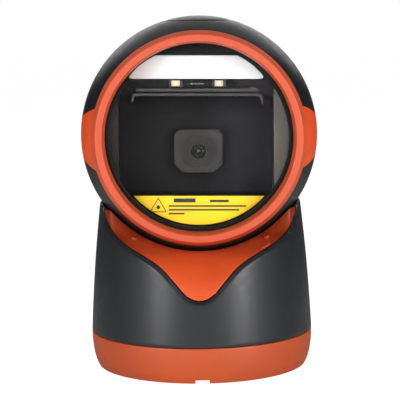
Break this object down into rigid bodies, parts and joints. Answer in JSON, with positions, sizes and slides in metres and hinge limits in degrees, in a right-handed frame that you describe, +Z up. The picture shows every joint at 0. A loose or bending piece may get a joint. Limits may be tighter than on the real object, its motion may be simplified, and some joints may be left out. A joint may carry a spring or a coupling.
{
  "type": "presentation barcode scanner",
  "caption": "Hands-free desktop barcode scanner: a ball head with a round window in a bezel ring tilts in the cup of a round weighted base.",
  "frame": {"origin": "under the middle of the base, on the plane of the rubber feet", "axes": "+Z up, the scan window faces -Y, +X across the window"},
  "size_m": [0.0998, 0.094, 0.1486],
  "materials": {
    "black_shell": "fine-textured injection moulded ABS, satin black",
    "orange_trim": "smooth satin red-orange ABS",
    "clear_window": "clear scratch-resistant window",
    "black_rubber": "matte black rubber",
    "matte_black": "matte black moulded plastic",
    "white_diffuser": "milky white light diffuser",
    "yellow_label": null,
    "circuit_board": "green solder-mask fibreglass board",
    "led_body": "pale LED package",
    "steel": "plated steel",
    "lens_glass": "coated lens glass",
    "cable_sheath": "black cable sheath"
  },
  "bodies": {
    "base": {"base_body": "black_shell", "base_skirt": "orange_trim", "cradle": "orange_trim", "base_plate": "black_shell", "counterweight": "steel", "rubber_foot_1": "black_rubber", "rubber_foot_2": "black_rubber", "rubber_foot_3": "black_rubber", "rubber_foot_4": "black_rubber", "base_screw_1": "steel", "base_screw_2": "steel", "base_screw_3": "steel", "base_screw_4": "steel", "clamp_stud": "steel", "clamp_saddle": "matte_black", "clamp_spring": "steel", "clamp_nut": "steel", "interface_board": "circuit_board", "cable_socket": "matte_black", "harness_lower": "cable_sheath"},
    "head": {"head_front_shell": "black_shell", "head_rear_shell": "black_shell", "front_bezel": "orange_trim", "scan_window": "clear_window", "window_gasket": "black_rubber", "optical_tray": "matte_black", "led_board": "matte_black", "led_hood": "matte_black", "camera_shroud": "matte_black", "lens_barrel": "matte_black", "beeper": "matte_black", "switch_body": "matte_black", "diffuser_panel": "white_diffuser", "label_plate": "yellow_label", "sensor_board": "circuit_board", "main_board": "circuit_board", "button_board": "circuit_board", "led_left": "led_body", "led_right": "led_body", "decoder_shield": "steel", "shell_screw_1": "steel", "shell_screw_2": "steel", "shell_screw_3": "steel", "shell_screw_4": "steel", "board_screw_1": "steel", "board_screw_2": "steel", "lens_element": "lens_glass", "flex_cable": "cable_sheath", "harness_upper": "cable_sheath"},
    "button": {"top_button": "black_shell", "switch_stem": "matte_black"}
  },
  "joints": [
    {"name": "head_tilt", "type": "hinge", "parent": "base", "child": "head", "pos_m": [0, 0, 0.0986], "axis": [-1, 0, 0], "range_deg": [-10, 20]},
    {"name": "button_press", "type": "slide", "parent": "head", "child": "button", "axis": [0, 0, -1], "range_m": [0, 0.0008], "stiffness_N_per_m": 1500, "springref_m": -0.0003}
  ]
}
